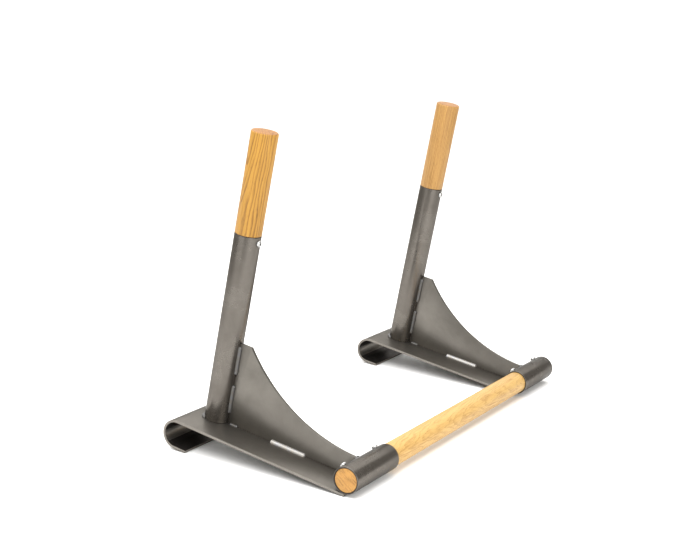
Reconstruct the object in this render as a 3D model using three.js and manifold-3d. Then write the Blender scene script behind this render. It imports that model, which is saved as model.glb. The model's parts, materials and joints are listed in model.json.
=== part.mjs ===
// Pull up bar that hooks over a rung of wall bars: two welded steel side frames, each with a
// hook plate, a post with a wooden grip, a gusset and a sleeve, joined by one wooden crossbar.
// Millimetres, +Z up. The part lies on the tips of its two lips and the noses of its two plates.
// The crossbar is at -Y and the hooks are at +Y. The origin is the centre of the footprint.
//
// A side frame is laid out square to its plate: x across the plate, y along it from the crossbar
// towards the hook, z square to it, with the origin where the sleeve touches the plate. The frames
// and the crossbar then lean together onto the floor.

import * as THREE from "three";
import { mergeVertices } from "three/addons/utils/BufferGeometryUtils.js";
import Module from "manifold-3d";

const wasm = await Module();
wasm.setup();

// Driving dimensions
const OVERALL_LENGTH = 730;
const TUBE_OD = 42.4;
const TUBE_WALL = 2;
const WOOD_FIT = 0.3;
const JOINT_GAP = 0.3;

const PLATE_WIDTH = 124;
const PLATE_THICKNESS = 4;
const PLATE_NOSE = 2;
const HOOK_INNER_RADIUS = 19.5;
const HOOK_SETBACK = 33;
const LIP_LENGTH = 23;

const POST_SETBACK = 273;
const POST_HEIGHT = 307;
const GRIP_LENGTH = 160;
const GRIP_EDGE = 2.5;
const SPIGOT_LENGTH = 70;
const SPIGOT_CHAMFER = 2;
const BAR_RECESS = 0.6;
const BAR_CHAMFER = 1.2;

const GUSSET_THICKNESS = 5;
const GUSSET_HEIGHT = 135;
const GUSSET_TOP_WIDTH = 20;
const GUSSET_ARC_RADIUS = 275;
const GUSSET_TIP_ANGLE = 31;
const GUSSET_HEEL_ANGLE = -38;

const SCREW_SHANK = 6;
const SCREW_LENGTH = 20;
const SCREW_HEAD = 10.5;
const SCREW_HEAD_HEIGHT = 3.3;
const SCREW_SOCKET = 4;
const SCREW_SOCKET_DEPTH = 2;
const SCREW_CLEARANCE = 0.3;
const GRIP_SCREW_BELOW_RIM = 9.5;
const BAR_SCREW_FROM_END = 15;
const BAR_SCREW_ANGLE = 42;

const BEAD_LEG = 4;
const SLIM_BEAD_LEG = 3;
const PLATE_BEAD_LEG = 5;
const PLATE_BEAD_LENGTH = 65;
const PLATE_BEAD_SHIFT = 2.5;
const FOOT_BEAD_LENGTH = 15;
const POST_BEAD_LENGTH = 47;
const POST_BEAD_SPACING = 65;
const POST_BEAD_DROP = 5;
const BASE_BEAD_SWEEP = 112;
const TIP_BEAD_SWEEP = 40;
const HEEL_BEAD_LENGTH = 36;
const HEEL_BEAD_START = 8;

const ROUND_STEPS = 48;
const SMALL_STEPS = 24;

// Sizes that follow
const tubeRadius = TUBE_OD / 2;
const boreRadius = tubeRadius - TUBE_WALL;
const woodRadius = boreRadius - WOOD_FIT;
const seatRadius = tubeRadius + JOINT_GAP;
const hookRadius = HOOK_INNER_RADIUS + PLATE_THICKNESS;
const hookY = POST_SETBACK + HOOK_SETBACK;
const lipY = hookY - LIP_LENGTH;
const rimZ = JOINT_GAP + POST_HEIGHT;
const gussetSide = GUSSET_THICKNESS / 2 + JOINT_GAP;
const gussetBackY = POST_SETBACK - seatRadius;
const frameOffset = (OVERALL_LENGTH - PLATE_WIDTH) / 2;
const barScrewX = PLATE_WIDTH / 2 - BAR_SCREW_FROM_END;
const tilt = Math.atan2(2 * hookRadius - PLATE_THICKNESS, lipY + PLATE_NOSE);

const radians = THREE.MathUtils.degToRad;
const tipAngle = radians(GUSSET_TIP_ANGLE);
const heelAngle = radians(GUSSET_HEEL_ANGLE);

const X = new THREE.Vector3(1, 0, 0);
const Y = new THREE.Vector3(0, 1, 0);
const Z = new THREE.Vector3(0, 0, 1);

const steel = new THREE.MeshStandardMaterial({ color: 0x6f6b66, roughness: 0.42, metalness: 0.85 });
const bead = new THREE.MeshStandardMaterial({ color: 0x9a948c, roughness: 0.3, metalness: 0.9 });
const oak = new THREE.MeshStandardMaterial({ color: 0xe0ae66, roughness: 0.5, metalness: 0 });
const zinc = new THREE.MeshStandardMaterial({ color: 0xd0d0d0, roughness: 0.2, metalness: 1 });

// Booleans
function toSolid(geometry) {
  const bare = geometry.clone();
  bare.deleteAttribute("normal");
  bare.deleteAttribute("uv");
  const merged = mergeVertices(bare, 1e-4);
  return new wasm.Manifold(new wasm.Mesh({
    numProp: 3,
    vertProperties: new Float32Array(merged.attributes.position.array),
    triVerts: new Uint32Array(merged.index.array),
  }));
}

function toGeometry(solid) {
  const mesh = solid.getMesh();
  const geometry = new THREE.BufferGeometry();
  geometry.setAttribute("position", new THREE.BufferAttribute(mesh.vertProperties, 3));
  geometry.setIndex(new THREE.BufferAttribute(mesh.triVerts, 1));
  geometry.computeVertexNormals();
  return geometry;
}

function cut(body, ...tools) {
  return toGeometry(tools.reduce((rest, tool) => rest.subtract(toSolid(tool)), toSolid(body)));
}

// Solid turned about z from [radius, z] points, listed from the bottom up
function turned(points, steps = ROUND_STEPS) {
  const outline = points.map(([r, z]) => new THREE.Vector2(r, z));
  return new THREE.LatheGeometry(outline, steps).rotateX(Math.PI / 2);
}

function tube(length) {
  return turned([
    [boreRadius, 0],
    [tubeRadius, 0],
    [tubeRadius, length],
    [boreRadius, length],
    [boreRadius, 0],
  ]);
}

// Solid with a flat outline in the plane of two axes, centred on that plane
function extruded(shape, thickness, across, up, curveSegments = SMALL_STEPS) {
  const options = { depth: thickness, bevelEnabled: false, curveSegments };
  const along = across.clone().cross(up);
  return new THREE.ExtrudeGeometry(shape, options)
    .translate(0, 0, -thickness / 2)
    .applyMatrix4(new THREE.Matrix4().makeBasis(across, up, along));
}

// Part of a ring about z, between two angles measured from +x towards +y
function ringSlice(points, from, sweep) {
  const reach = 2 * tubeRadius;
  const slice = new THREE.Shape();
  slice.moveTo(0, 0);
  slice.lineTo(reach * Math.cos(from), reach * Math.sin(from));
  slice.absarc(0, 0, reach, from, from + sweep, false);
  slice.closePath();
  const wedge = extruded(slice, 2 * reach, X, Y);
  return toGeometry(toSolid(turned(points)).intersect(toSolid(wedge)));
}

// Screws. Each is made along z, pointing at the axis of the tube that it holds, and then placed.
function screw() {
  const head = SCREW_HEAD / 2;
  const shank = SCREW_SHANK / 2;
  const point = seatRadius - SCREW_LENGTH;
  const body = turned([
    [0, point],
    [shank / 2, point],
    [shank, point + shank],
    [shank, seatRadius],
    [head, seatRadius],
    [head, seatRadius + SCREW_HEAD_HEIGHT * 0.25],
    [head * 0.88, seatRadius + SCREW_HEAD_HEIGHT * 0.62],
    [head * 0.66, seatRadius + SCREW_HEAD_HEIGHT * 0.88],
    [head * 0.42, seatRadius + SCREW_HEAD_HEIGHT],
    [0, seatRadius + SCREW_HEAD_HEIGHT],
  ], SMALL_STEPS);
  const socketRadius = SCREW_SOCKET / Math.sqrt(3);
  const socket = new THREE.CylinderGeometry(socketRadius, socketRadius, 2 * SCREW_SOCKET_DEPTH, 6)
    .rotateX(Math.PI / 2)
    .translate(0, 0, seatRadius + SCREW_HEAD_HEIGHT);
  return cut(body, socket);
}

function screwHole() {
  const radius = SCREW_SHANK / 2 + SCREW_CLEARANCE;
  const depth = SCREW_LENGTH + SCREW_CLEARANCE;
  return new THREE.CylinderGeometry(radius, radius, 2 * depth, SMALL_STEPS)
    .rotateX(Math.PI / 2)
    .translate(0, 0, seatRadius);
}

function ontoPost(geometry) {
  return geometry
    .rotateX(Math.PI / 2)
    .translate(0, POST_SETBACK, rimZ - GRIP_SCREW_BELOW_RIM);
}

function ontoSleeve(geometry, x) {
  return geometry
    .rotateX(radians(BAR_SCREW_ANGLE - 90))
    .translate(x, 0, seatRadius);
}

// Wood
function crossbar() {
  const half = OVERALL_LENGTH / 2 - BAR_RECESS;
  const bar = turned([
    [0, -half],
    [woodRadius - BAR_CHAMFER, -half],
    [woodRadius, BAR_CHAMFER - half],
    [woodRadius, half - BAR_CHAMFER],
    [woodRadius - BAR_CHAMFER, half],
    [0, half],
  ]).rotateY(Math.PI / 2).translate(0, 0, seatRadius);
  const places = [-frameOffset, frameOffset].flatMap((x) => [x - barScrewX, x + barScrewX]);
  return cut(bar, ...places.map((x) => ontoSleeve(screwHole(), x)));
}

function grip() {
  const shoulder = rimZ + JOINT_GAP;
  const foot = rimZ - SPIGOT_LENGTH;
  const top = shoulder + GRIP_LENGTH;
  const body = turned([
    [0, foot],
    [woodRadius - SPIGOT_CHAMFER, foot],
    [woodRadius, foot + SPIGOT_CHAMFER],
    [woodRadius, shoulder],
    [tubeRadius, shoulder],
    [tubeRadius, top - GRIP_EDGE],
    [tubeRadius - GRIP_EDGE * 0.3, top - GRIP_EDGE * 0.3],
    [tubeRadius - GRIP_EDGE, top],
    [0, top],
  ]).translate(0, POST_SETBACK, 0);
  return cut(body, ontoPost(screwHole()));
}

// Steel
function hookPlate() {
  const outline = new THREE.Shape();
  outline.moveTo(-PLATE_NOSE, -PLATE_THICKNESS);
  outline.lineTo(hookY, -PLATE_THICKNESS);
  outline.absarc(hookY, -hookRadius, HOOK_INNER_RADIUS, Math.PI / 2, -Math.PI / 2, true);
  outline.lineTo(lipY, PLATE_THICKNESS - 2 * hookRadius);
  outline.lineTo(lipY, -2 * hookRadius);
  outline.lineTo(hookY, -2 * hookRadius);
  outline.absarc(hookY, -hookRadius, hookRadius, -Math.PI / 2, Math.PI / 2, false);
  outline.lineTo(-PLATE_NOSE, 0);
  outline.closePath();
  return extruded(outline, PLATE_WIDTH, Y, Z);
}

function postTube() {
  const standing = tube(POST_HEIGHT).translate(0, POST_SETBACK, JOINT_GAP);
  return cut(standing, ontoPost(screwHole()));
}

function sleeve() {
  const lying = tube(PLATE_WIDTH)
    .translate(0, 0, -PLATE_WIDTH / 2)
    .rotateY(Math.PI / 2)
    .translate(0, 0, seatRadius);
  return cut(lying, ontoSleeve(screwHole(), -barScrewX), ontoSleeve(screwHole(), barScrewX));
}

// Centre and end angles of the arc that sags below the chord from its low end to its high end
function saggingArc(low, high, radius) {
  const chord = high.clone().sub(low);
  const rise = Math.sqrt(radius ** 2 - chord.lengthSq() / 4);
  const upward = new THREE.Vector2(-chord.y, chord.x).normalize();
  const centre = low.clone().add(high).multiplyScalar(0.5).addScaledVector(upward, rise);
  return { centre, from: low.sub(centre).angle(), to: high.sub(centre).angle() };
}

function gusset() {
  const tip = new THREE.Vector2(Math.cos(tipAngle), Math.sin(tipAngle))
    .multiplyScalar(seatRadius)
    .add(new THREE.Vector2(0, seatRadius));
  const cornerY = gussetBackY - GUSSET_TOP_WIDTH;
  const corner = new THREE.Vector2(cornerY, GUSSET_HEIGHT);
  const { centre, from, to } = saggingArc(tip, corner, GUSSET_ARC_RADIUS);
  const outline = new THREE.Shape();
  outline.moveTo(seatRadius * Math.cos(heelAngle), JOINT_GAP);
  outline.lineTo(gussetBackY, JOINT_GAP);
  outline.lineTo(gussetBackY, GUSSET_HEIGHT);
  outline.lineTo(cornerY, GUSSET_HEIGHT);
  outline.absarc(centre.x, centre.y, GUSSET_ARC_RADIUS, to, from, true);
  outline.absarc(0, seatRadius, seatRadius, tipAngle, heelAngle, true);
  outline.closePath();
  return extruded(outline, GUSSET_THICKNESS, Y, Z);
}

// Weld beads. The side is +1 or -1, for the face of the gusset towards +x or -x.
function filletShape(leg) {
  const section = new THREE.Shape();
  section.moveTo(0, 0);
  section.lineTo(leg, 0);
  section.quadraticCurveTo(leg * 0.75, leg * 0.75, 0, leg);
  section.closePath();
  return section;
}

function plateBead(side, middle, length, leg) {
  const [across, up] = side > 0 ? [X, Z] : [Z, X.clone().negate()];
  return extruded(filletShape(leg), length, across, up, SMALL_STEPS / 4)
    .translate(side * gussetSide, middle, JOINT_GAP);
}

function postBead(side, middle) {
  const start = Math.acos(gussetSide / seatRadius);
  const end = Math.acos((gussetSide + BEAD_LEG) / seatRadius);
  const root = -seatRadius * Math.sin(start);
  const section = new THREE.Shape();
  section.moveTo(gussetSide, root);
  section.lineTo(gussetSide, root - BEAD_LEG);
  section.quadraticCurveTo(
    gussetSide + BEAD_LEG * 0.75,
    root - BEAD_LEG * 0.75,
    gussetSide + BEAD_LEG,
    -seatRadius * Math.sin(end),
  );
  section.absarc(0, 0, seatRadius, -end, -start, true);
  section.closePath();
  const [across, up] = side > 0 ? [X, Y] : [X.clone().negate(), Y];
  const solid = extruded(section, POST_BEAD_LENGTH, across, up, SMALL_STEPS / 4);
  return solid.translate(0, POST_SETBACK, middle);
}

function baseBead() {
  const section = [
    [seatRadius, JOINT_GAP],
    [seatRadius + BEAD_LEG, JOINT_GAP],
    [seatRadius + BEAD_LEG * 0.6, JOINT_GAP + BEAD_LEG * 0.6],
    [seatRadius, JOINT_GAP + BEAD_LEG],
    [seatRadius, JOINT_GAP],
  ];
  const sweep = radians(BASE_BEAD_SWEEP);
  return ringSlice(section, (Math.PI - sweep) / 2, sweep).translate(0, POST_SETBACK, 0);
}

function tipBead(side) {
  const root = side * gussetSide;
  const edge = side * (gussetSide + SLIM_BEAD_LEG);
  const belly = side * (gussetSide + SLIM_BEAD_LEG * 0.6);
  const section = [
    [seatRadius, root],
    [seatRadius, edge],
    [seatRadius + SLIM_BEAD_LEG * 0.6, belly],
    [seatRadius + SLIM_BEAD_LEG, root],
    [seatRadius, root],
  ];
  const ring = side > 0 ? section.reverse() : section;
  const sweep = radians(TIP_BEAD_SWEEP);
  return ringSlice(ring, Math.PI / 2 + tipAngle - sweep, sweep)
    .rotateY(Math.PI / 2)
    .translate(0, 0, seatRadius);
}

function heelBead(side) {
  const start = -Math.acos(HEEL_BEAD_START / seatRadius);
  const heelY = seatRadius * Math.cos(heelAngle);
  const section = new THREE.Shape();
  section.moveTo(HEEL_BEAD_START, JOINT_GAP);
  section.lineTo(heelY, JOINT_GAP);
  section.lineTo(heelY, seatRadius + seatRadius * Math.sin(heelAngle));
  section.absarc(0, seatRadius, seatRadius, heelAngle, start, true);
  section.closePath();
  return extruded(section, HEEL_BEAD_LENGTH, Y, Z, SMALL_STEPS / 4)
    .translate(side * (gussetSide + HEEL_BEAD_LENGTH / 2), 0, 0);
}

// Assembly
function piece(name, geometry, material) {
  const mesh = new THREE.Mesh(geometry, material);
  mesh.name = name;
  return mesh;
}

function sideFrame(hand, outward) {
  const frame = new THREE.Group();
  const plateBeadY = (gussetBackY + seatRadius * Math.cos(heelAngle)) / 2 + PLATE_BEAD_SHIFT;
  const footBeadY = gussetBackY - BEAD_LEG - FOOT_BEAD_LENGTH / 2;
  const upperBeadZ = GUSSET_HEIGHT - POST_BEAD_DROP - POST_BEAD_LENGTH / 2;
  const lowerBeadZ = upperBeadZ - POST_BEAD_SPACING;
  frame.add(
    piece(`${hand}_hook_plate`, hookPlate(), steel),
    piece(`${hand}_post_tube`, postTube(), steel),
    piece(`${hand}_gusset`, gusset(), steel),
    piece(`${hand}_bar_sleeve`, sleeve(), steel),
    piece(`${hand}_grip`, grip(), oak),
    piece(`${hand}_grip_screw`, ontoPost(screw()), zinc),
    piece(`${hand}_post_base_weld`, baseBead(), bead),
  );
  for (const [face, side] of [["outer", outward], ["inner", -outward]]) {
    frame.add(
      piece(`${hand}_bar_screw_${face}`, ontoSleeve(screw(), side * barScrewX), zinc),
      piece(`${hand}_post_weld_upper_${face}`, postBead(side, upperBeadZ), bead),
      piece(`${hand}_post_weld_lower_${face}`, postBead(side, lowerBeadZ), bead),
      piece(`${hand}_plate_weld_${face}`, plateBead(side, plateBeadY, PLATE_BEAD_LENGTH, PLATE_BEAD_LEG), bead),
      piece(`${hand}_foot_weld_${face}`, plateBead(side, footBeadY, FOOT_BEAD_LENGTH, SLIM_BEAD_LEG), bead),
      piece(`${hand}_tip_weld_${face}`, tipBead(side), bead),
      piece(`${hand}_sleeve_weld_${face}`, heelBead(side), bead),
    );
  }
  return frame;
}

const leftFrame = sideFrame("left", -1);
const rightFrame = sideFrame("right", 1);
leftFrame.position.x = -frameOffset;
rightFrame.position.x = frameOffset;

// The lean sets the back of the hooks and the front of the sleeves equally far from the origin
const sin = Math.sin(tilt);
const cos = Math.cos(tilt);
const backY = hookY * cos + hookRadius * sin + hookRadius;
const frontY = -seatRadius * sin - tubeRadius;

const leaning = new THREE.Group();
leaning.add(leftFrame, rightFrame, piece("crossbar", crossbar(), oak));
leaning.rotation.x = tilt;
leaning.position.set(0, -(backY + frontY) / 2, PLATE_NOSE * sin + PLATE_THICKNESS * cos);

const group = new THREE.Group();
group.add(leaning);

export default group;
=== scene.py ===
import json
import math

import bpy
from mathutils import Euler, Matrix, Quaternion, Vector


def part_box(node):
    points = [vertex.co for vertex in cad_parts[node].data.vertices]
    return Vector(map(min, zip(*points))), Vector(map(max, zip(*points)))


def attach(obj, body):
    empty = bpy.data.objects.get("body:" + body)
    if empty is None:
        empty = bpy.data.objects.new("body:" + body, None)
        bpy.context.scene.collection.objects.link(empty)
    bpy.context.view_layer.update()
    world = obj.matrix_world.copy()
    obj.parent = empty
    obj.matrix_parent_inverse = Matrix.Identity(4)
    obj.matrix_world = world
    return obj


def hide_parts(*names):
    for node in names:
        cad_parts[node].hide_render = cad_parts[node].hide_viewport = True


# Pull up bar that hooks over a rung of wall bars. A side frame is modelled square to its plate:
# x across the plate, y along it from the crossbar towards the hook, z square to it, with the
# origin where the sleeve touches the plate. Both frames then lean onto the floor.

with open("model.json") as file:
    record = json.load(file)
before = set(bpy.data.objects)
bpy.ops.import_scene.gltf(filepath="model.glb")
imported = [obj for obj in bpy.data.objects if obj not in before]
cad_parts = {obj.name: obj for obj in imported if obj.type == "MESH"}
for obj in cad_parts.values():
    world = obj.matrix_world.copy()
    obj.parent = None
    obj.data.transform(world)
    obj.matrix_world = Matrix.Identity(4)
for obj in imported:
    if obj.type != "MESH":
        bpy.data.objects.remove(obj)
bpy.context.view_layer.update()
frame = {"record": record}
bpy.ops.object.select_all(action="DESELECT")

MM = 0.001
HANDS = (("left", -1), ("right", 1))
FACES = (("outer", 1), ("inner", -1))
ACROSS = (0, math.pi / 2, 0)

# Tubes and wood
TUBE_RADIUS = 21.2 * MM
TUBE_WALL = 2 * MM
WOOD_RADIUS = 18.9 * MM
JOINT_GAP = 0.3 * MM
SEAT_RADIUS = TUBE_RADIUS + JOINT_GAP
SLEEVE_CENTRE = (0, 0, SEAT_RADIUS)
RIM_SOFTNESS = 0.5 * MM

# Hook plate
PLATE_WIDTH = 124 * MM
PLATE_THICKNESS = 4 * MM
PLATE_NOSE = 2 * MM
HOOK_RADIUS = 23.5 * MM
HOOK_Y = 306 * MM
HOOK_STEPS = 40
LIP_LENGTH = 23 * MM

# Post, grip and crossbar
POST_Y = 273 * MM
POST_HEIGHT = 307 * MM
RIM_Z = JOINT_GAP + POST_HEIGHT
SHOULDER_Z = RIM_Z + JOINT_GAP
SHOULDER_GROOVE = 0.9 * MM
GRIP_LENGTH = 160 * MM
GRIP_TOP_Z = SHOULDER_Z + GRIP_LENGTH
GRIP_EDGE = 2.5 * MM
SPIGOT_LENGTH = 70 * MM
SPIGOT_END_Z = RIM_Z - SPIGOT_LENGTH
SPIGOT_CHAMFER = 2 * MM
BAR_CHAMFER = 1.2 * MM

# Gusset
GUSSET_THICKNESS = 5 * MM
GUSSET_FACE_X = GUSSET_THICKNESS / 2
GUSSET_HEIGHT = 135 * MM
GUSSET_TOP_WIDTH = 20 * MM
GUSSET_ARC_RADIUS = 275 * MM
GUSSET_SOFTNESS = 0.4 * MM
GUSSET_TIP_ANGLE = math.radians(31)
GUSSET_HEEL_ANGLE = math.radians(-38)
GUSSET_HEEL_Y = SEAT_RADIUS * math.cos(GUSSET_HEEL_ANGLE)
GUSSET_HEEL_SPARE = 6 * MM
GUSSET_BACK_Y = POST_Y - SEAT_RADIUS

# Screws
SCREW_SHANK = 6 * MM
SCREW_LENGTH = 20 * MM
SCREW_POINT_TAPER = 0.5
SCREW_HEAD = 10.5 * MM
SCREW_HEAD_HEIGHT = 3.3 * MM
SCREW_DOME = 0.82 * SCREW_HEAD_HEIGHT
SCREW_SOCKET = 4 * MM
SCREW_SOCKET_DEPTH = 2 * MM
SCREW_HOLE = 6.6 * MM
DRILL_START = 1 * MM
GRIP_SCREW_DROP = 9.5 * MM
GRIP_SCREW_Z = RIM_Z - GRIP_SCREW_DROP
BAR_SCREW_INSET = 15 * MM
BAR_SCREW_X = PLATE_WIDTH / 2 - BAR_SCREW_INSET
BAR_SCREW_TURN = math.radians(-48)

# Weld beads
BEAD_LEG = 4 * MM
SLIM_BEAD_LEG = 3 * MM
BEAD_PITCH = 1.9 * MM
RIPPLE_REACH = 1.6 * BEAD_PITCH
BEAD_VOXEL = 0.34 * MM
BEAD_LIFT = 0.02 * MM
PLATE_BEAD_LEG = 5 * MM
PLATE_BEAD_LENGTH = 65 * MM
PLATE_BEAD_SHIFT = 2.5 * MM
FOOT_BEAD_LENGTH = 15 * MM
POST_BEAD_LENGTH = 47 * MM
POST_BEAD_SPACING = 65 * MM
POST_BEAD_DROP = 5 * MM
BASE_BEAD_SWEEP = math.radians(112)
TIP_BEAD_SWEEP = math.radians(40)
TIP_BEAD_INSET = math.radians(4)
HEEL_BEAD_LENGTH = 36 * MM
HEEL_BEAD_LEG = 7.6 * MM
HEEL_BEAD_Y = 9.2 * MM
HEEL_BEAD_Z = 0.5 * MM

# How finely things are modelled
ROUND_SIDES = 128
ARC_SIDES = 720
SCREW_SIDES = 48
DRILL_SIDES = 32
RIPPLE_SIDES = 24
RIPPLE_RINGS = 16
SAME_PLACE = 0.05 * MM
SAME_CORNER = 0.01 * MM
ROUND_SMOOTHING = 35
FLAT_SMOOTHING = 30
BEAD_SMOOTHING = 50

# How squarely a face has to look along a direction to count as part of something
SQUARE = 0.9
BAR_END_SQUARE = 0.95
GRIP_END_SQUARE = 0.8
LIP_SQUARE = 0.6
PLATE_SIDE_SQUARE = 0.5
RIM_SQUARE = 0.3
CHAMFER_SQUARE = 0.1
NOSE_DEPTH = 0.3 * MM

# Finishes
CLOUD_RANGE = (0.3, 0.7)
MIDDLE_RANGE = (0.35, 0.65)
SPECKLE_SHARE = 0.12
ROUGHNESS_SPREAD = 0.025
RING_STRETCH = (1, 1, 6)
PORE_STRETCH = (1, 1, 9)
FIBRE_STRETCH = (1, 1, 40)
RAY_STRETCH = (6, 1, 1)
PORE_DEPTH = 0.55
PORE_SHADE = 0.4
END_GRAIN_TINT = (0.88, 0.72, 0.54)
RAY_TURN = math.radians(-50)
RING_WAVES = math.pi / 10

# Studio
VIEW_TURN = math.radians(-59.92)
VIEW_DOWN = math.radians(13.22)
VIEW_ROLL = math.radians(2.94)
CAMERA_PLACE = (-2.01883, -1.09236, 0.77388)
CAMERA_LENS = 71.67
CAMERA_SENSOR = 36
CAMERA_SHIFT = (0.0097, -0.0031)
AWAY = Vector((-math.sin(VIEW_TURN), math.cos(VIEW_TURN), 0))
FLOOR_SIZE = 60
FLOOR_DROP = 0.2 * MM
WALL_SIZE = (24, 5, 1)
WALL_DISTANCE = 5
WALL_LIGHT_DISTANCE = 3
WALL_LIGHT_HEIGHT = 2.8
FLOOR_COLOUR = (0.92, 0.92, 0.915, 1)
ROOM_COLOUR = (1, 0.955, 0.88, 1)
ROOM_STRENGTH = 0.5

# How the frames stand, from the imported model
plate_underside = next(m for m in frame["record"]["mounts"] if m["name"] == "left_plate_underside")
TILT = math.atan2(plate_underside["axis"][1], -plate_underside["axis"][2])
bar_low, bar_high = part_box("crossbar")
BAR_CENTRE = (bar_low + bar_high) / 2
BAR_LENGTH = bar_high.x - bar_low.x
plate_low, plate_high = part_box("right_hook_plate")
FRAME_X = (plate_low.x + plate_high.x) / 2
LEAN = Matrix.Rotation(TILT, 3, "X")
SEAT = BAR_CENTRE - LEAN @ Vector(SLEEVE_CENTRE)


# Handling pieces
def only(piece):
    bpy.ops.object.select_all(action="DESELECT")
    piece.select_set(True)
    bpy.context.view_layer.objects.active = piece


def settle(piece):
    only(piece)
    bpy.ops.object.transform_apply(location=True, rotation=True, scale=True)


def started(name):
    """The primitive that was just added, with its name and its place in its mesh."""
    piece = bpy.context.active_object
    piece.name = name
    piece.data.name = name
    settle(piece)
    return piece


def copied(piece, name):
    only(piece)
    bpy.ops.object.duplicate(linked=False)
    return started(name)


def moved(piece, offset=(0, 0, 0), turn=(0, 0, 0)):
    """Turns the piece about the origin and then moves it."""
    piece.rotation_euler = turn
    piece.location = offset
    settle(piece)
    return piece


def removed(*pieces):
    for piece in pieces:
        only(piece)
        bpy.ops.object.delete()


def applied(piece, kind, **settings):
    modifier = piece.modifiers.new(kind.lower(), kind)
    for name, value in settings.items():
        setattr(modifier, name, value)
    only(piece)
    bpy.ops.object.modifier_apply(modifier=modifier.name)
    return piece


def carved(piece, *cutters):
    for cutter in cutters:
        applied(piece, "BOOLEAN", operation="DIFFERENCE", solver="EXACT", object=cutter)
    removed(*cutters)
    return piece


def smoothed(piece, angle=ROUND_SMOOTHING):
    only(piece)
    bpy.ops.object.shade_smooth_by_angle(angle=math.radians(angle))
    return piece


def eased(piece, width=RIM_SOFTNESS, segments=3, angle=40):
    """Rounds every edge that is sharper than the angle."""
    return applied(
        piece,
        "BEVEL",
        width=width,
        segments=segments,
        limit_method="ANGLE",
        angle_limit=math.radians(angle),
        harden_normals=False,
    )


# Selecting by place
def open_for_faces(piece, wanted):
    """Opens the piece for editing with the faces selected whose centre and normal are wanted."""
    only(piece)
    bpy.ops.object.mode_set(mode="EDIT")
    bpy.ops.mesh.select_mode(type="FACE")
    bpy.ops.mesh.select_all(action="DESELECT")
    bpy.ops.object.mode_set(mode="OBJECT")
    for face in piece.data.polygons:
        face.select = wanted(face.center, face.normal)
    bpy.ops.object.mode_set(mode="EDIT")


def open_for_edges(piece, wanted):
    """Opens the piece for editing with the edges selected whose two ends are wanted."""
    only(piece)
    bpy.ops.object.mode_set(mode="EDIT")
    bpy.ops.mesh.select_mode(type="EDGE")
    bpy.ops.mesh.select_all(action="DESELECT")
    bpy.ops.object.mode_set(mode="OBJECT")
    corners = piece.data.vertices
    for edge in piece.data.edges:
        first, second = edge.vertices
        edge.select = wanted(corners[first].co, corners[second].co)
    bpy.ops.object.mode_set(mode="EDIT")


def open_for_all(piece):
    only(piece)
    bpy.ops.object.mode_set(mode="EDIT")
    bpy.ops.mesh.select_all(action="SELECT")


def closed():
    bpy.ops.object.mode_set(mode="OBJECT")


def faced_outwards(piece):
    open_for_all(piece)
    bpy.ops.mesh.normals_make_consistent(inside=False)
    closed()
    return piece


def merged(piece):
    open_for_all(piece)
    bpy.ops.mesh.remove_doubles(threshold=SAME_CORNER)
    closed()
    return faced_outwards(piece)


def trimmed(piece, point, outward):
    """Cuts off all that lies past the plane and closes the cut."""
    open_for_all(piece)
    bpy.ops.mesh.bisect(plane_co=point, plane_no=outward, use_fill=True, clear_outer=True)
    closed()
    return piece


def near(value, target, slack=SAME_PLACE):
    return abs(value - target) < slack


def is_underside(centre, normal):
    return normal.z < -SQUARE


def painted(piece, finish, *specials):
    """Gives the piece its finish, and each special one to the faces that it is meant for."""
    piece.data.materials.clear()
    piece.data.materials.append(finish)
    for special, _ in specials:
        piece.data.materials.append(special)
    for face in piece.data.polygons:
        face.material_index = 0
        for index, (_, meant) in enumerate(specials):
            if meant(face.center, face.normal):
                face.material_index = index + 1
    return piece


# Steel parts
def rod(name, radius, length, centre=(0, 0, 0), turn=(0, 0, 0), sides=ROUND_SIDES, fill="NGON"):
    bpy.ops.mesh.primitive_cylinder_add(
        vertices=sides,
        radius=radius,
        depth=length,
        location=centre,
        rotation=turn,
        end_fill_type=fill,
    )
    return started(name)


def thin_tube(name, length, centre=(0, 0, 0), turn=(0, 0, 0)):
    """A cut length of tube with its burrs taken off."""
    piece = rod(name, TUBE_RADIUS, length, centre, turn, fill="NOTHING")
    applied(piece, "SOLIDIFY", thickness=TUBE_WALL, offset=-1, use_even_offset=True)
    return eased(piece)


def drill(offset, turn):
    """A drill for one screw, from the axis of its tube outwards."""
    centre = (0, 0, SEAT_RADIUS + DRILL_START)
    bit = rod("drill", SCREW_HOLE / 2, 2 * TUBE_RADIUS, centre, sides=DRILL_SIDES)
    return moved(bit, offset, turn)


def grip_screw_place():
    return (0, POST_Y, GRIP_SCREW_Z), (math.pi / 2, 0, 0)


def bar_screw_place(side):
    return (side * BAR_SCREW_X, 0, SEAT_RADIUS), (BAR_SCREW_TURN, 0, 0)


def make_post_tube():
    tube = thin_tube("post tube", POST_HEIGHT, (0, POST_Y, JOINT_GAP + POST_HEIGHT / 2))
    return smoothed(carved(tube, drill(*grip_screw_place())))


def make_sleeve():
    sleeve = thin_tube("sleeve", PLATE_WIDTH, SLEEVE_CENTRE, ACROSS)
    return smoothed(carved(sleeve, drill(*bar_screw_place(-1)), drill(*bar_screw_place(1))))


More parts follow.
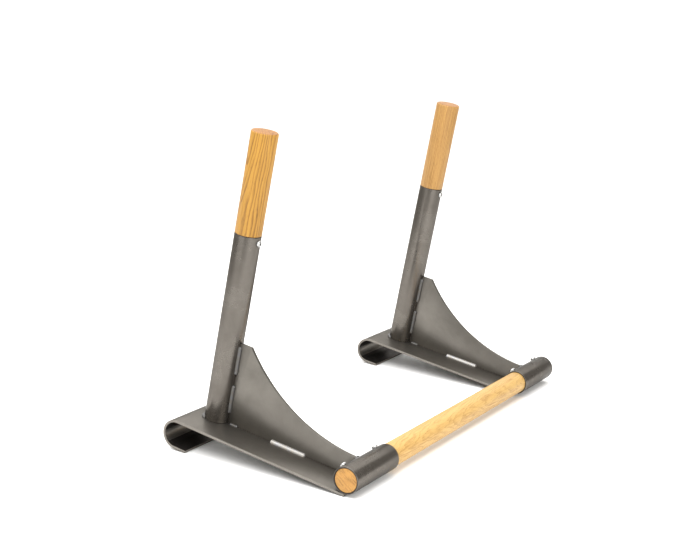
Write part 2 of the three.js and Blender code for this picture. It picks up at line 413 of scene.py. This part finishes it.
def make_hook_plate():
    """A flat strip whose far end is rolled half round and ends in a straight lip."""
    length = HOOK_Y + PLATE_NOSE
    bpy.ops.mesh.primitive_plane_add(size=1, location=(0, length / 2 - PLATE_NOSE, 0))
    bpy.context.active_object.scale = (PLATE_WIDTH, length, 1)
    plate = started("hook plate")
    open_for_edges(plate, lambda a, b: near(a.y, HOOK_Y) and near(b.y, HOOK_Y))
    bpy.ops.mesh.spin(
        steps=HOOK_STEPS,
        angle=math.pi,
        center=(0, HOOK_Y, -HOOK_RADIUS),
        axis=(1, 0, 0),
    )
    bpy.ops.mesh.extrude_region_move(TRANSFORM_OT_translate={"value": (0, -LIP_LENGTH, 0)})
    closed()
    merged(plate)
    applied(
        plate,
        "SOLIDIFY",
        thickness=PLATE_THICKNESS,
        offset=-1,
        use_even_offset=True,
        material_offset_rim=1,
    )
    return smoothed(eased(plate))


def gusset_arc_centre():
    """Centre of the arc that sags between the sleeve and the top of the gusset."""
    tip_y = SEAT_RADIUS * math.cos(GUSSET_TIP_ANGLE)
    tip = Vector((0, tip_y, SEAT_RADIUS + SEAT_RADIUS * math.sin(GUSSET_TIP_ANGLE)))
    corner = Vector((0, GUSSET_BACK_Y - GUSSET_TOP_WIDTH, GUSSET_HEIGHT))
    chord = corner - tip
    rise = math.sqrt(GUSSET_ARC_RADIUS**2 - chord.length_squared / 4)
    upward = Vector((0, -chord.z, chord.y)).normalized()
    return (tip + corner) / 2 + upward * rise


def make_gusset():
    """A slab cut out to the arc of its free edge and to the round of the sleeve."""
    middle_y = (GUSSET_HEEL_Y - GUSSET_HEEL_SPARE + GUSSET_BACK_Y) / 2
    middle_z = (JOINT_GAP + GUSSET_HEIGHT) / 2
    bpy.ops.mesh.primitive_cube_add(size=1, location=(0, middle_y, middle_z))
    bpy.context.active_object.scale = (
        GUSSET_THICKNESS,
        GUSSET_BACK_Y - GUSSET_HEEL_Y + GUSSET_HEEL_SPARE,
        GUSSET_HEIGHT - JOINT_GAP,
    )
    gusset = started("gusset")
    wide = 4 * GUSSET_THICKNESS
    arc = rod("arc cutter", GUSSET_ARC_RADIUS, wide, gusset_arc_centre(), ACROSS, ARC_SIDES)
    seat = rod("seat cutter", SEAT_RADIUS, wide, SLEEVE_CENTRE, ACROSS)
    carved(gusset, arc, seat)
    return smoothed(eased(gusset, GUSSET_SOFTNESS, segments=2), FLAT_SMOOTHING)


# Wood
def softened(piece, width, segments):
    """Bevels the edges that are selected and closes the piece."""
    bpy.ops.mesh.bevel(offset=width, segments=segments, profile=0.5, affect="EDGES")
    closed()
    return piece


def make_crossbar():
    bar = rod("crossbar wood", WOOD_RADIUS, BAR_LENGTH, BAR_CENTRE, ACROSS)
    end = BAR_LENGTH / 2
    open_for_edges(bar, lambda a, b: near(abs(a.x), end) and near(b.x, a.x))
    softened(bar, BAR_CHAMFER, segments=3)
    for _, hand_side in HANDS:
        for side in (-1, 1):
            offset, turn = bar_screw_place(side)
            place = SEAT + LEAN @ Vector(offset) + Vector((hand_side * FRAME_X, 0, 0))
            carved(bar, drill(place, (turn[0] + TILT, 0, 0)))
    return smoothed(bar)


def round_grip_edge(grip, height, width, segments, inmost=0):
    """Rounds the rim of the grip at a height, as far in as a radius."""

    def on_rim(corner):
        reach = math.hypot(corner.x, corner.y - POST_Y)
        return near(corner.z, height) and reach > inmost

    open_for_edges(grip, lambda a, b: on_rim(a) and on_rim(b))
    softened(grip, width, segments)


def make_grip():
    """A grip with a shoulder that sits on the rim of the post and a spigot inside it."""
    grip = rod("grip", TUBE_RADIUS, GRIP_LENGTH, (0, POST_Y, (SHOULDER_Z + GRIP_TOP_Z) / 2))
    open_for_faces(grip, is_underside)
    bpy.ops.mesh.inset(thickness=TUBE_RADIUS - WOOD_RADIUS, depth=0)
    down = (0, 0, SPIGOT_END_Z - SHOULDER_Z)
    bpy.ops.mesh.extrude_region_move(TRANSFORM_OT_translate={"value": down})
    closed()
    round_grip_edge(grip, GRIP_TOP_Z, GRIP_EDGE, segments=5)
    round_grip_edge(grip, SPIGOT_END_Z, SPIGOT_CHAMFER, segments=1)
    outermost = TUBE_RADIUS - JOINT_GAP
    round_grip_edge(grip, SHOULDER_Z, SHOULDER_GROOVE, segments=2, inmost=outermost)
    return smoothed(carved(grip, drill(*grip_screw_place())))


# Screws
def make_screw():
    """A button head screw along z, which points at the axis of the tube that it holds."""
    top = SEAT_RADIUS + SCREW_HEAD_HEIGHT
    centre = (0, 0, SEAT_RADIUS + SCREW_HEAD_HEIGHT / 2)
    screw = rod("screw", SCREW_HEAD / 2, SCREW_HEAD_HEIGHT, centre, sides=SCREW_SIDES)
    open_for_edges(screw, lambda a, b: near(a.z, top) and near(b.z, top))
    softened(screw, SCREW_DOME, segments=7)
    open_for_faces(screw, is_underside)
    bpy.ops.mesh.inset(thickness=(SCREW_HEAD - SCREW_SHANK) / 2, depth=0)
    point = SCREW_SHANK / 2
    for length in (SCREW_LENGTH - point, point):
        bpy.ops.mesh.extrude_region_move(TRANSFORM_OT_translate={"value": (0, 0, -length)})
    taper = (SCREW_POINT_TAPER, SCREW_POINT_TAPER, 1)
    bpy.ops.transform.resize(value=taper, center_override=(0, 0, 0))
    closed()
    key_radius = SCREW_SOCKET / math.sqrt(3)
    carved(screw, rod("hex key", key_radius, 2 * SCREW_SOCKET_DEPTH, (0, 0, top), sides=6))
    return smoothed(screw, FLAT_SMOOTHING)


# Weld beads
def ripple(place, size):
    """One ripple of weld metal."""
    bpy.ops.mesh.primitive_uv_sphere_add(
        segments=RIPPLE_SIDES,
        ring_count=RIPPLE_RINGS,
        radius=1,
        location=place,
    )
    bpy.context.active_object.scale = size
    return started("weld bead")


def ripple_count(length):
    return max(3, round(length / BEAD_PITCH) + 1)


def fused(bead):
    """Melts the ripples together."""
    applied(bead, "REMESH", mode="VOXEL", voxel_size=BEAD_VOXEL)
    applied(bead, "SMOOTH", factor=0.5, iterations=3)
    return bead


def straight_bead(start, step, count, size):
    bead = ripple(start, size)
    applied(
        bead,
        "ARRAY",
        count=count,
        use_relative_offset=False,
        use_constant_offset=True,
        constant_offset_displace=step,
    )
    return fused(bead)


def curved_bead(start, size, centre, axis, angle, count):
    bead = ripple(start, size)
    open_for_all(bead)
    bpy.ops.mesh.spin(steps=count - 1, dupli=True, angle=angle, center=centre, axis=axis)
    closed()
    return fused(bead)


def cut_at_plate(bead):
    return trimmed(bead, (0, 0, BEAD_LIFT), (0, 0, -1))


def cut_at_gusset(bead):
    return trimmed(bead, (GUSSET_FACE_X, 0, 0), (-1, 0, 0))


def cut_at_post(bead, height, length):
    post = rod("post cutter", TUBE_RADIUS, length, (0, POST_Y, height))
    return smoothed(carved(bead, post), BEAD_SMOOTHING)


def cut_at_sleeve(bead):
    sleeve = rod("sleeve cutter", TUBE_RADIUS, PLATE_WIDTH, SLEEVE_CENTRE, ACROSS)
    return smoothed(carved(bead, sleeve), BEAD_SMOOTHING)


def make_plate_bead(middle, length, leg):
    """Along the foot of the gusset, on its +x face."""
    count = ripple_count(length - 2 * RIPPLE_REACH)
    start = (GUSSET_FACE_X, middle - (count - 1) * BEAD_PITCH / 2, 0)
    bead = straight_bead(start, (0, BEAD_PITCH, 0), count, (leg, RIPPLE_REACH, leg))
    cut_at_plate(bead)
    cut_at_gusset(bead)
    return smoothed(bead, BEAD_SMOOTHING)


def make_post_bead(middle):
    """Up the corner between the gusset's +x face and the post."""
    count = ripple_count(POST_BEAD_LENGTH - 2 * RIPPLE_REACH)
    root = math.sqrt(TUBE_RADIUS**2 - GUSSET_FACE_X**2)
    start = (GUSSET_FACE_X, POST_Y - root, middle - (count - 1) * BEAD_PITCH / 2)
    bead = straight_bead(start, (0, 0, BEAD_PITCH), count, (BEAD_LEG, BEAD_LEG, RIPPLE_REACH))
    cut_at_gusset(bead)
    return cut_at_post(bead, middle, 4 * POST_BEAD_LENGTH)


def make_base_bead():
    """Round the back of the post's foot."""
    sweep = BASE_BEAD_SWEEP - 2 * BEAD_LEG / TUBE_RADIUS
    count = ripple_count(TUBE_RADIUS * sweep)
    across = TUBE_RADIUS * math.sin(sweep / 2)
    behind = TUBE_RADIUS * math.cos(sweep / 2)
    start = (across, POST_Y + behind, 0)
    size = (BEAD_LEG, BEAD_LEG, BEAD_LEG)
    bead = curved_bead(start, size, (0, POST_Y, 0), (0, 0, 1), -sweep, count)
    cut_at_plate(bead)
    return cut_at_post(bead, 0, 4 * BEAD_LEG)


def make_tip_bead():
    """Over the sleeve, on the +x face of the gusset's tip."""
    count = ripple_count(SEAT_RADIUS * TIP_BEAD_SWEEP - SLIM_BEAD_LEG)
    angle = GUSSET_TIP_ANGLE - TIP_BEAD_INSET
    start = (
        GUSSET_FACE_X,
        TUBE_RADIUS * math.cos(angle),
        SEAT_RADIUS + TUBE_RADIUS * math.sin(angle),
    )
    size = (SLIM_BEAD_LEG, SLIM_BEAD_LEG, SLIM_BEAD_LEG)
    sweep = TIP_BEAD_SWEEP - 2 * TIP_BEAD_INSET
    bead = curved_bead(start, size, SLEEVE_CENTRE, (1, 0, 0), sweep, count)
    cut_at_gusset(bead)
    return cut_at_sleeve(bead)


def make_heel_bead():
    """In the wedge between the sleeve and the plate, on the +x side of the gusset."""
    count = ripple_count(HEEL_BEAD_LENGTH - 2 * RIPPLE_REACH)
    start = (GUSSET_FACE_X + RIPPLE_REACH, HEEL_BEAD_Y, HEEL_BEAD_Z)
    size = (RIPPLE_REACH, HEEL_BEAD_LEG, HEEL_BEAD_LEG)
    bead = straight_bead(start, (BEAD_PITCH, 0, 0), count, size)
    cut_at_plate(bead)
    cut_at_gusset(bead)
    return cut_at_sleeve(bead)


def mirrored(bead):
    """The same bead on the -x side."""
    twin = copied(bead, "twin bead")
    twin.scale = (-1, 1, 1)
    settle(twin)
    return faced_outwards(twin)


# Finishes
def new_finish(name):
    finish = bpy.data.materials.new(name)
    finish.use_nodes = True
    return finish


def add(finish, kind, settings=None, values=None):
    made = finish.node_tree.nodes.new("ShaderNode" + kind)
    for name, value in (settings or {}).items():
        setattr(made, name, value)
    for name, value in (values or {}).items():
        made.inputs[name].default_value = value
    return made


def wire(finish, source, target):
    finish.node_tree.links.new(source, target)


def fed(finish, value, socket):
    """Sets a socket to a number or a colour, or wires the output of a node to it."""
    if isinstance(value, (int, float)):
        socket.default_value = value
    elif isinstance(value, tuple):
        socket.default_value = (*value, 1)
    else:
        wire(finish, value, socket)


def shader_of(finish, **values):
    shader = finish.node_tree.nodes["Principled BSDF"]
    for name, value in values.items():
        shader.inputs[name.replace("_", " ")].default_value = value
    return shader


def own_place(finish, centre=(0, 0, 0), turn=(0, 0, 0), stretch=(1, 1, 1)):
    """The piece's own coordinates, centred on a point, turned and stretched."""
    place = add(finish, "TexCoord")
    values = {"Location": centre, "Rotation": turn, "Scale": stretch}
    local = add(finish, "Mapping", {"vector_type": "TEXTURE"}, values)
    wire(finish, place.outputs["Object"], local.inputs["Vector"])
    return local.outputs["Vector"]


def noise(finish, place, scale, detail=3, roughness=0.5, distortion=0):
    values = {"Scale": scale, "Detail": detail, "Roughness": roughness, "Distortion": distortion}
    cloud = add(finish, "TexNoise", None, values)
    wire(finish, place, cloud.inputs["Vector"])
    return cloud.outputs["Fac"]


def ranged(finish, source, span, target):
    """Stretches one span of values to another."""
    values = {"From Min": span[0], "From Max": span[1], "To Min": target[0], "To Max": target[1]}
    scaled = add(finish, "MapRange", None, values)
    wire(finish, source, scaled.inputs["Value"])
    return scaled.outputs["Result"]


def ramped(finish, source, stops):
    ramp = add(finish, "ValToRGB")
    elements = ramp.color_ramp.elements
    while len(elements) < len(stops):
        elements.new(0.5)
    for element, (position, colour) in zip(elements, stops):
        element.position = position
        element.color = (*colour, 1)
    wire(finish, source, ramp.inputs["Fac"])
    return ramp.outputs["Color"]


def mixed(finish, share, first, second, blend="MIX"):
    """Mixes two colours by a share. Each is a colour or the output of a node."""
    mix = add(finish, "Mix", {"data_type": "RGBA", "blend_type": blend})
    fed(finish, share, mix.inputs[0])
    fed(finish, first, mix.inputs[6])
    fed(finish, second, mix.inputs[7])
    return mix.outputs[2]


def maths(finish, operation, first, second):
    made = add(finish, "Math", {"operation": operation})
    fed(finish, first, made.inputs[0])
    fed(finish, second, made.inputs[1])
    return made.outputs["Value"]


def bumped(finish, shader, height, depth, strength):
    bump = add(finish, "Bump", None, {"Strength": strength, "Distance": depth})
    wire(finish, height, bump.inputs["Height"])
    wire(finish, bump.outputs["Normal"], shader.inputs["Normal"])


def steel_finish(name, dark, light, rough):
    """Bare steel under a satin clear lacquer, clouded by the mill."""
    finish = new_finish(name)
    shader = shader_of(
        finish,
        Metallic=0.88,
        Specular_Tint=(0.45, 0.45, 0.45, 1),
        Coat_Weight=0.06,
        Coat_Roughness=0.3,
    )
    place = own_place(finish)
    cloud = noise(finish, place, scale=22, detail=5, roughness=0.6, distortion=0.4)
    grain = noise(finish, place, scale=900, detail=2)
    stops = tuple(zip(CLOUD_RANGE, (dark, light)))
    colour = ramped(finish, cloud, stops)
    speckled = mixed(finish, SPECKLE_SHARE, colour, ramped(finish, grain, stops))
    wire(finish, speckled, shader.inputs["Base Color"])
    roughness = (rough + ROUGHNESS_SPREAD, rough - ROUGHNESS_SPREAD)
    spread = ranged(finish, cloud, CLOUD_RANGE, roughness)
    wire(finish, spread, shader.inputs["Roughness"])
    bumped(finish, shader, grain, depth=0.02 * MM, strength=0.5)
    return finish


def bead_finish(name, brightness):
    """Rippled weld metal with a little straw and blue heat tint."""
    finish = new_finish(name)
    shader = shader_of(finish, Metallic=0.7, Coat_Weight=0.1, Coat_Roughness=0.2)
    place = own_place(finish)
    cloud = noise(finish, place, scale=180, distortion=0.5)
    tints = ((0.3, (0.9, 0.9, 0.96)), (0.5, (1, 0.97, 0.92)), (0.72, (1, 0.9, 0.76)))
    stops = [(at, tuple(value * brightness for value in tint)) for at, tint in tints]
    wire(finish, ramped(finish, cloud, stops), shader.inputs["Base Color"])
    wire(finish, ranged(finish, cloud, CLOUD_RANGE, (0.32, 0.5)), shader.inputs["Roughness"])
    grain = noise(finish, place, scale=1400, detail=2)
    bumped(finish, shader, grain, depth=0.03 * MM, strength=0.6)
    return finish


def screw_finish():
    finish = new_finish("stainless screw")
    shader = shader_of(finish, Metallic=1.0)
    brushed = noise(finish, own_place(finish), scale=1600)
    stops = tuple(zip(MIDDLE_RANGE, ((0.34, 0.34, 0.34), (0.50, 0.50, 0.49))))
    wire(finish, ramped(finish, brushed, stops), shader.inputs["Base Color"])
    wire(finish, ranged(finish, brushed, CLOUD_RANGE, (0.16, 0.28)), shader.inputs["Roughness"])
    return finish


def gap_shade_finish():
    """Wood painted dark at an edge, as shade in the narrow gap beside the steel."""
    finish = new_finish("wood painted dark as gap shade")
    shader = shader_of(finish, Roughness=0.7)
    cloud = noise(finish, own_place(finish), scale=700)
    stops = tuple(zip(CLOUD_RANGE, ((0.05, 0.022, 0.006), (0.12, 0.055, 0.016))))
    wire(finish, ramped(finish, cloud, stops), shader.inputs["Base Color"])
    return finish


class Oak:
    """Where one piece of oak lay in its log, its colours, and how its growth rings run."""

    def __init__(self, name, pith, turn, light, dark, ring, contrast, drift, drift_scale):
        self.name = name
        self.pith = pith
        self.turn = turn
        self.light = light
        self.dark = dark
        self.ring = ring
        self.contrast = contrast
        self.drift = drift
        self.drift_scale = drift_scale


def drifted(finish, wood, place):
    """Moves a place a little to and fro, as rings wander in a tree."""
    drift = add(finish, "TexNoise", None, {"Scale": wood.drift_scale, "Detail": 2.0})
    wire(finish, place, drift.inputs["Vector"])
    push = add(finish, "VectorMath", {"operation": "SUBTRACT"})
    wire(finish, drift.outputs["Color"], push.inputs[0])
    push.inputs[1].default_value = (0.5, 0.5, 0.5)
    warp = add(finish, "VectorMath", {"operation": "MULTIPLY_ADD"})
    wire(finish, push.outputs["Vector"], warp.inputs[0])
    warp.inputs[1].default_value = (wood.drift, wood.drift, wood.drift)
    wire(finish, place, warp.inputs[2])
    return warp.outputs["Vector"]


def oak_rings(finish, wood):
    """Growth rings round the pith, drawn out along the grain."""
    straight = own_place(finish, wood.pith, wood.turn, RING_STRETCH)
    settings = {"wave_type": "RINGS", "rings_direction": "Z", "wave_profile": "SAW"}
    values = {
        "Scale": RING_WAVES / wood.ring,
        "Distortion": 3.0,
        "Detail": 3.0,
        "Detail Scale": 0.35,
        "Detail Roughness": 0.6,
    }
    rings = add(finish, "TexWave", settings, values)
    wire(finish, drifted(finish, wood, straight), rings.inputs["Vector"])
    return rings.outputs["Fac"]


def ray_place(finish, wood):
    """Coordinates drawn out along the rays that cross the end grain."""
    turn = Euler(wood.turn).to_matrix() @ Matrix.Rotation(RAY_TURN, 3, "Z")
    return own_place(finish, wood.pith, turn.to_euler(), RAY_STRETCH)


def end_grain_colour(finish, wood, colour, shade):
    """Tints the colour as end grain and draws dark streaks along the rays."""
    tinted = mixed(finish, 1.0, colour, END_GRAIN_TINT, "MULTIPLY")
    streaks = noise(finish, ray_place(finish, wood), scale=420, roughness=0.6)
    depth = ranged(finish, streaks, (0.5, 0.64), (0.0, 0.55))
    return mixed(finish, depth, tinted, shade)


def oak_finish(wood, end_grain=False):
    finish = new_finish(wood.name + (" end grain" if end_grain else ""))
    shader = shader_of(finish, Specular_IOR_Level=0.35, Coat_Weight=0.04, Coat_Roughness=0.4)
    rings = oak_rings(finish, wood)
    along = own_place(finish, wood.pith, wood.turn, FIBRE_STRETCH)
    short = own_place(finish, wood.pith, wood.turn, PORE_STRETCH)
    fibre = noise(finish, along, scale=520, detail=4, roughness=0.7)
    pore = noise(finish, short, scale=1100, detail=2)
    patch = noise(finish, along, scale=50, detail=2)

    # A sharp dark line fades across each ring, under the fibres and wider patches
    line = ranged(finish, rings, (0.0, 0.5), (wood.contrast, 0.0))
    share = maths(finish, "ADD", line, ranged(finish, fibre, MIDDLE_RANGE, (-0.22, 0.34)))
    share = maths(finish, "ADD", share, ranged(finish, patch, MIDDLE_RANGE, (-0.18, 0.18)))
    colour = mixed(finish, share, wood.light, wood.dark)

    # Open pores crowd along the dark lines
    dots = ranged(finish, pore, (0.56, 0.66), (0.0, 1.0))
    pits = maths(finish, "MULTIPLY", dots, ranged(finish, line, (0.0, 0.6), (0.3, 1.0)))
    shade = tuple(value * PORE_SHADE for value in wood.dark)
    colour = mixed(finish, maths(finish, "MULTIPLY", pits, PORE_DEPTH), colour, shade)
    if end_grain:
        colour = end_grain_colour(finish, wood, colour, shade)
    wire(finish, colour, shader.inputs["Base Color"])
    wire(finish, ranged(finish, fibre, CLOUD_RANGE, (0.42, 0.58)), shader.inputs["Roughness"])
    height = maths(finish, "SUBTRACT", fibre, pits)
    bumped(finish, shader, height, depth=0.06 * MM, strength=0.5)
    return finish


# Studio
def make_camera():
    back = Vector((
        math.sin(VIEW_TURN) * math.cos(VIEW_DOWN),
        -math.cos(VIEW_TURN) * math.cos(VIEW_DOWN),
        math.sin(VIEW_DOWN),
    ))
    level = (-back).to_track_quat("-Z", "Y")
    bpy.ops.object.camera_add(location=CAMERA_PLACE)
    camera = bpy.context.active_object
    camera.name = "camera"
    camera.rotation_mode = "QUATERNION"
    camera.rotation_quaternion = level @ Quaternion((0, 0, 1), VIEW_ROLL)
    camera.data.lens = CAMERA_LENS
    camera.data.sensor_width = CAMERA_SENSOR
    camera.data.shift_x, camera.data.shift_y = CAMERA_SHIFT
    bpy.context.scene.camera = camera


def soft_light(name, place, aim, size, power):
    bpy.ops.object.light_add(type="AREA", location=place)
    light = bpy.context.active_object
    light.name = name
    light.data.shape = "RECTANGLE"
    light.data.size = size[0]
    light.data.size_y = size[1]
    light.data.energy = power
    light.rotation_mode = "QUATERNION"
    light.rotation_quaternion = (Vector(aim) - Vector(place)).to_track_quat("-Z", "Y")


def make_backdrop():
    """A pale floor that ends in a wall far behind the bar."""
    pale = new_finish("pale floor")
    shader_of(pale, Base_Color=FLOOR_COLOUR, Roughness=0.85, Specular_IOR_Level=0.2)
    bpy.ops.mesh.primitive_plane_add(size=FLOOR_SIZE, location=(0, 0, -FLOOR_DROP))
    floor = painted(started("floor"), pale)
    bpy.ops.mesh.primitive_plane_add(size=1)
    wall = bpy.context.active_object
    wall.scale = WALL_SIZE
    wall.rotation_euler = (math.pi / 2, 0, VIEW_TURN)
    wall.location = AWAY * WALL_DISTANCE + Vector((0, 0, WALL_SIZE[1] / 2))
    wall = painted(started("backdrop"), pale)


def make_studio():
    make_backdrop()
    world = bpy.data.worlds.new("studio")
    world.use_nodes = True
    sky = world.node_tree.nodes["Background"]
    sky.inputs["Color"].default_value = ROOM_COLOUR
    sky.inputs["Strength"].default_value = ROOM_STRENGTH
    bpy.context.scene.world = world
    soft_light(
        "overhead softbox", place=(-0.7, 0.35, 1.8), aim=(-0.1, 0, 0), size=(3.2, 3.2), power=76
    )
    soft_light(
        "front softbox", place=(-1.3, -2.4, 1.1), aim=(0, 0, 0.1), size=(2.2, 1.6), power=58
    )
    soft_light(
        "left softbox", place=(-1.9, 0.5, 0.45), aim=(-0.3, 0.1, 0.05), size=(1.5, 0.7), power=4
    )
    behind = AWAY * WALL_LIGHT_DISTANCE
    above = behind + Vector((0, 0, WALL_LIGHT_HEIGHT))
    soft_light("backdrop softbox", place=above, aim=behind, size=(10, 6), power=270)
    bpy.context.scene.view_settings.view_transform = "Standard"


# Which faces are which
# The plate's sides, nose and lip end, painted lighter as a highlight where the edges catch the
# light.
def is_plate_edge(centre, normal):
    at_nose = near(centre.y, -PLATE_NOSE, NOSE_DEPTH)
    at_lip = normal.y < -LIP_SQUARE and centre.z < -HOOK_RADIUS
    return abs(normal.x) > PLATE_SIDE_SQUARE or at_nose or at_lip


def is_plate_shaded_inside(centre, normal):
    """The side of the strip that is inside the hook and under the plate, painted dark as shade."""
    past_bend = max(0, centre.y - HOOK_Y)
    reach = math.hypot(past_bend, centre.z + HOOK_RADIUS)
    is_deep = reach < HOOK_RADIUS - 0.8 * PLATE_THICKNESS
    return is_deep and abs(normal.x) < PLATE_SIDE_SQUARE


# The post's bore and its two rims, painted dark as shade; on the top rim it is a painted shadow in
# the joint under the grip.
def is_post_bore_and_rims_shaded(centre, normal):
    reach = math.hypot(centre.x, centre.y - POST_Y)
    return reach < TUBE_RADIUS - 0.3 * TUBE_WALL or abs(normal.z) > RIM_SQUARE


# The sleeve's bore, painted dark as shade.
def is_sleeve_bore_shaded(centre, normal):
    reach = math.hypot(centre.y, centre.z - SEAT_RADIUS)
    return reach < TUBE_RADIUS - 0.5 * TUBE_WALL


# The sleeve's end faces, painted lighter as a highlight where the rounded rim catches the light.
def is_sleeve_rim(centre, normal):
    return abs(normal.x) > RIM_SQUARE


def is_grip_end(centre, normal):
    return abs(normal.z) > GRIP_END_SQUARE


# The grip's shoulder over the post's rim, painted dark as shade in the joint.
def is_grip_shoulder(centre, normal):
    return centre.z < SHOULDER_Z + SHOULDER_GROOVE


def is_bar_end(centre, normal):
    return abs(normal.x) > BAR_END_SQUARE


# The chamfer at each end of the crossbar, painted dark as shade in the gap inside the sleeve.
def is_bar_chamfer(centre, normal):
    return CHAMFER_SQUARE < abs(normal.x) < BAR_END_SQUARE


# Assembly
def fitted(piece, node):
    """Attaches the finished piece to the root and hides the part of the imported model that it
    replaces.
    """
    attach(piece, "root")
    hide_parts(node)


def placed(pattern, name, hand_side):
    """A copy of a pattern piece, leaned into its frame on one hand."""
    piece = copied(pattern, name)
    return moved(piece, SEAT + Vector((hand_side * FRAME_X, 0, 0)), (TILT, 0, 0))


def build_steel():
    steel = steel_finish("satin steel", (0.100, 0.090, 0.079), (0.136, 0.124, 0.110), 0.28)
    sheet = steel_finish("satin sheet steel", (0.120, 0.111, 0.098), (0.158, 0.147, 0.131), 0.36)
    # Lighter steel on the cut edges and rims, a painted highlight where they catch the light.
    edge = steel_finish("cut steel edge with painted highlight", (0.14, 0.128, 0.113), (0.20, 0.185, 0.167), 0.34)
    # Very dark steel painted as shade inside the hook, in the bores and on the post's rims.
    scale = steel_finish("steel painted dark as shade", (0.040, 0.036, 0.032), (0.062, 0.057, 0.052), 0.42)
    plate = painted(make_hook_plate(), sheet, (scale, is_plate_shaded_inside), (edge, is_plate_edge))
    post = painted(make_post_tube(), steel, (scale, is_post_bore_and_rims_shaded))
    gusset = painted(make_gusset(), sheet)
    sleeve = painted(make_sleeve(), steel, (edge, is_sleeve_rim), (scale, is_sleeve_bore_shaded))
    patterns = {"hook_plate": plate, "post_tube": post, "gusset": gusset, "bar_sleeve": sleeve}
    for kind, pattern in patterns.items():
        for hand, hand_side in HANDS:
            piece = placed(pattern, f"{hand}_{kind}_steel", hand_side)
            fitted(piece, f"{hand}_{kind}")
    removed(*patterns.values())


def bead_patterns():
    plate_middle = (GUSSET_BACK_Y + GUSSET_HEEL_Y) / 2 + PLATE_BEAD_SHIFT
    foot_middle = GUSSET_BACK_Y - BEAD_LEG - FOOT_BEAD_LENGTH / 2
    upper = GUSSET_HEIGHT - POST_BEAD_DROP - POST_BEAD_LENGTH / 2
    return {
        "plate_weld": make_plate_bead(plate_middle, PLATE_BEAD_LENGTH, PLATE_BEAD_LEG),
        "foot_weld": make_plate_bead(foot_middle, FOOT_BEAD_LENGTH, SLIM_BEAD_LEG),
        "post_weld_upper": make_post_bead(upper),
        "post_weld_lower": make_post_bead(upper - POST_BEAD_SPACING),
        "tip_weld": make_tip_bead(),
        "sleeve_weld": make_heel_bead(),
    }


def build_beads():
    """Beads on both faces of each gusset, and one behind each post."""
    # The plate beads get the weld metal made much lighter as a painted highlight; the other beads
    # keep the plain weld metal.
    weld_with_painted_highlight = bead_finish("weld metal with painted highlight", brightness=0.34)
    dull = bead_finish("dull weld metal", brightness=0.095)
    for kind, bead in bead_patterns().items():
        painted(bead, weld_with_painted_highlight if kind == "plate_weld" else dull)
        twin = mirrored(bead)
        for hand, hand_side in HANDS:
            for face, face_side in FACES:
                pattern = bead if hand_side * face_side > 0 else twin
                piece = placed(pattern, f"{hand}_{kind}_{face}_bead", hand_side)
                fitted(piece, f"{hand}_{kind}_{face}")
        removed(bead, twin)
    base_bead = painted(make_base_bead(), dull)
    for hand, hand_side in HANDS:
        piece = placed(base_bead, f"{hand}_post_base_bead", hand_side)
        fitted(piece, f"{hand}_post_base_weld")
    removed(base_bead)


def build_screw(screw, name, node, place, hand_side):
    pattern = moved(copied(screw, "screw in its hole"), *place)
    piece = placed(pattern, name, hand_side)
    fitted(piece, node)
    removed(pattern)


def build_screws():
    screw = painted(make_screw(), screw_finish())
    for hand, hand_side in HANDS:
        name = f"{hand}_grip_button_screw"
        build_screw(screw, name, f"{hand}_grip_screw", grip_screw_place(), hand_side)
        for face, face_side in FACES:
            name = f"{hand}_bar_button_screw_{face}"
            place = bar_screw_place(hand_side * face_side)
            build_screw(screw, name, f"{hand}_bar_screw_{face}", place, hand_side)
    removed(screw)


def grip_woods():
    """One board for each grip. The pith of each tree lay beside the post."""
    post_foot = SEAT + LEAN @ Vector((0, POST_Y, 0))
    left = Oak(
        name="oak of the left grip",
        pith=post_foot + Vector((28 * MM - FRAME_X, -53 * MM, 0)),
        turn=(TILT + math.radians(1.2), math.radians(2.2), 0),
        light=(0.375, 0.192, 0.026),
        dark=(0.15, 0.06, 0.006),
        ring=4.6 * MM,
        contrast=0.85,
        drift=22 * MM,
        drift_scale=45,
    )
    right = Oak(
        name="oak of the right grip",
        pith=post_foot + Vector((FRAME_X - 30 * MM, 60 * MM, 0)),
        turn=(TILT, math.radians(-0.6), 0),
        light=(0.40, 0.22, 0.062),
        dark=(0.15, 0.068, 0.015),
        ring=1.9 * MM,
        contrast=0.7,
        drift=8 * MM,
        drift_scale=60,
    )
    return {"left": left, "right": right}


def crossbar_wood():
    return Oak(
        name="oak of the crossbar",
        pith=BAR_CENTRE + Vector((0, 45 * MM, -22 * MM)),
        turn=(0, math.radians(91), math.radians(3.5)),
        light=(0.485, 0.305, 0.099),
        dark=(0.30, 0.155, 0.040),
        ring=2.6 * MM,
        contrast=0.52,
        drift=16 * MM,
        drift_scale=60,
    )


def build_wood():
    # Dark wood painted as shade where the wood meets the steel.
    gap_shade = gap_shade_finish()
    woods = grip_woods()
    grip = make_grip()
    for hand, hand_side in HANDS:
        sides = oak_finish(woods[hand])
        ends = oak_finish(woods[hand], end_grain=True)
        pattern = painted(
            copied(grip, "grip pattern"), sides, (ends, is_grip_end), (gap_shade, is_grip_shoulder)
        )
        piece = placed(pattern, f"{hand}_oak_grip", hand_side)
        fitted(piece, f"{hand}_grip")
        removed(pattern)
    removed(grip)

    wood = crossbar_wood()
    sides = oak_finish(wood)
    ends = oak_finish(wood, end_grain=True)
    bar = painted(make_crossbar(), sides, (ends, is_bar_end), (gap_shade, is_bar_chamfer))
    bar.name = "oak_crossbar"
    bar.data.name = "oak_crossbar"
    fitted(bar, "crossbar")


make_camera()
make_studio()
build_steel()
build_beads()
build_screws()
build_wood()
